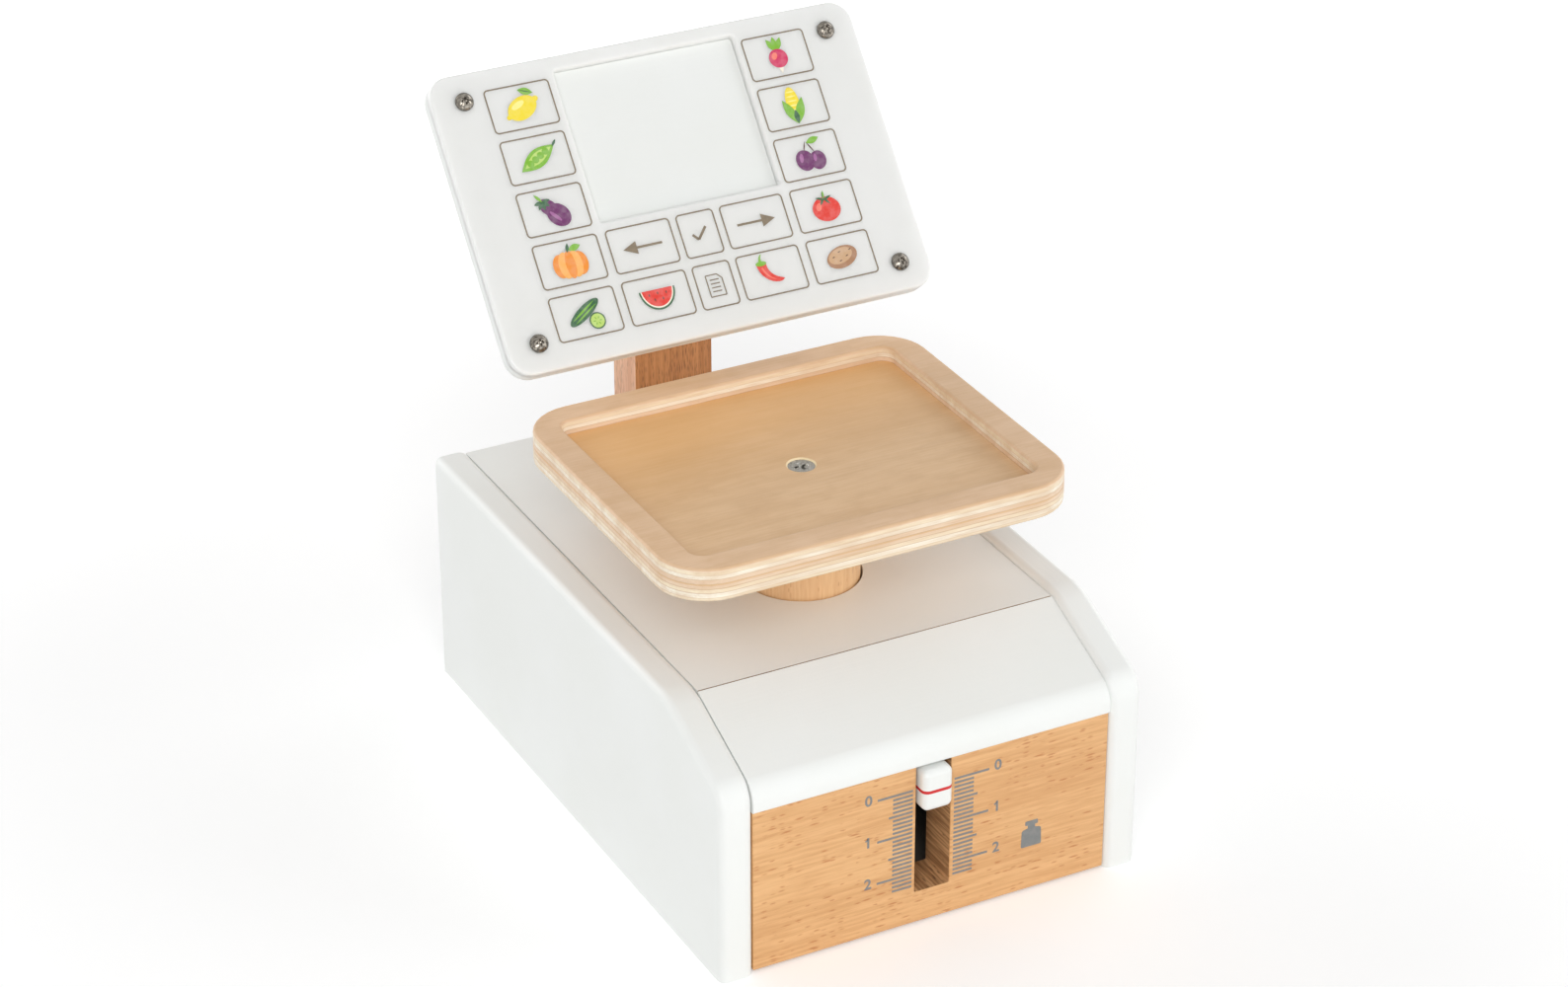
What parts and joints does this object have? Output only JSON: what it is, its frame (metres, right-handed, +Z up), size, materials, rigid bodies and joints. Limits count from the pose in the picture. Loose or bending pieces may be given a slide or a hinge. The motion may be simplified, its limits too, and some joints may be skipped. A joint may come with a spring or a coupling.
{
  "type": "toy shop scale",
  "caption": "Wooden toy shop scale: a sprung plywood tray on a plunger drives a pointer down a dial slot, with a tilted keypad display on a post.",
  "frame": {"origin": "on the table under the middle of the part's bounding box", "axes": "+Z up, -Y out of the dial's face towards the customer, +X to the right of somebody who faces the dial"},
  "size_m": [0.16, 0.2266, 0.2353],
  "materials": {
    "white_paint": "satin white paint on wood",
    "beech": "clear satin lacquer on beech",
    "softwood": "bare planed wood",
    "plywood": "clear satin lacquer on plywood",
    "zinc_screw": "bright zinc",
    "spring_steel": "oiled spring wire",
    "display_plastic": "milky white sheet",
    "dark_nickel": "dark nickel plate"
  },
  "bodies": {
    "body": {"left_side_panel": "white_paint", "right_side_panel": "white_paint", "top_board": "white_paint", "slope_board": "white_paint", "front_board": "beech", "back_board": "white_paint", "base_board": "white_paint", "left_base_cleat": "softwood", "right_base_cleat": "softwood", "base_screws": "zinc_screw", "guide_block": "softwood", "guide_screws": "zinc_screw", "spring_post": "beech", "spring_post_screw": "zinc_screw", "compression_spring": "spring_steel", "neck_post": "beech", "neck_screws": "zinc_screw", "display_board": "white_paint", "display_sheet": "display_plastic", "display_screws": "dark_nickel", "display_dowels": "beech", "left_panel_dowels": "beech", "right_panel_dowels": "beech"},
    "weighing_unit": {"tray_base": "plywood", "tray_frame": "plywood", "tray_screw": "zinc_screw", "plunger": "beech", "pointer_arm": "plywood", "arm_screws": "zinc_screw", "pointer": "white_paint"}
  },
  "joints": [
    {"name": "tray_press", "type": "slide", "parent": "body", "child": "weighing_unit", "axis": [0, 0, -1], "range_m": [0, 0.032], "stiffness_N_per_m": 627, "springref_m": -0.008, "deforming": ["compression_spring"]}
  ]
}
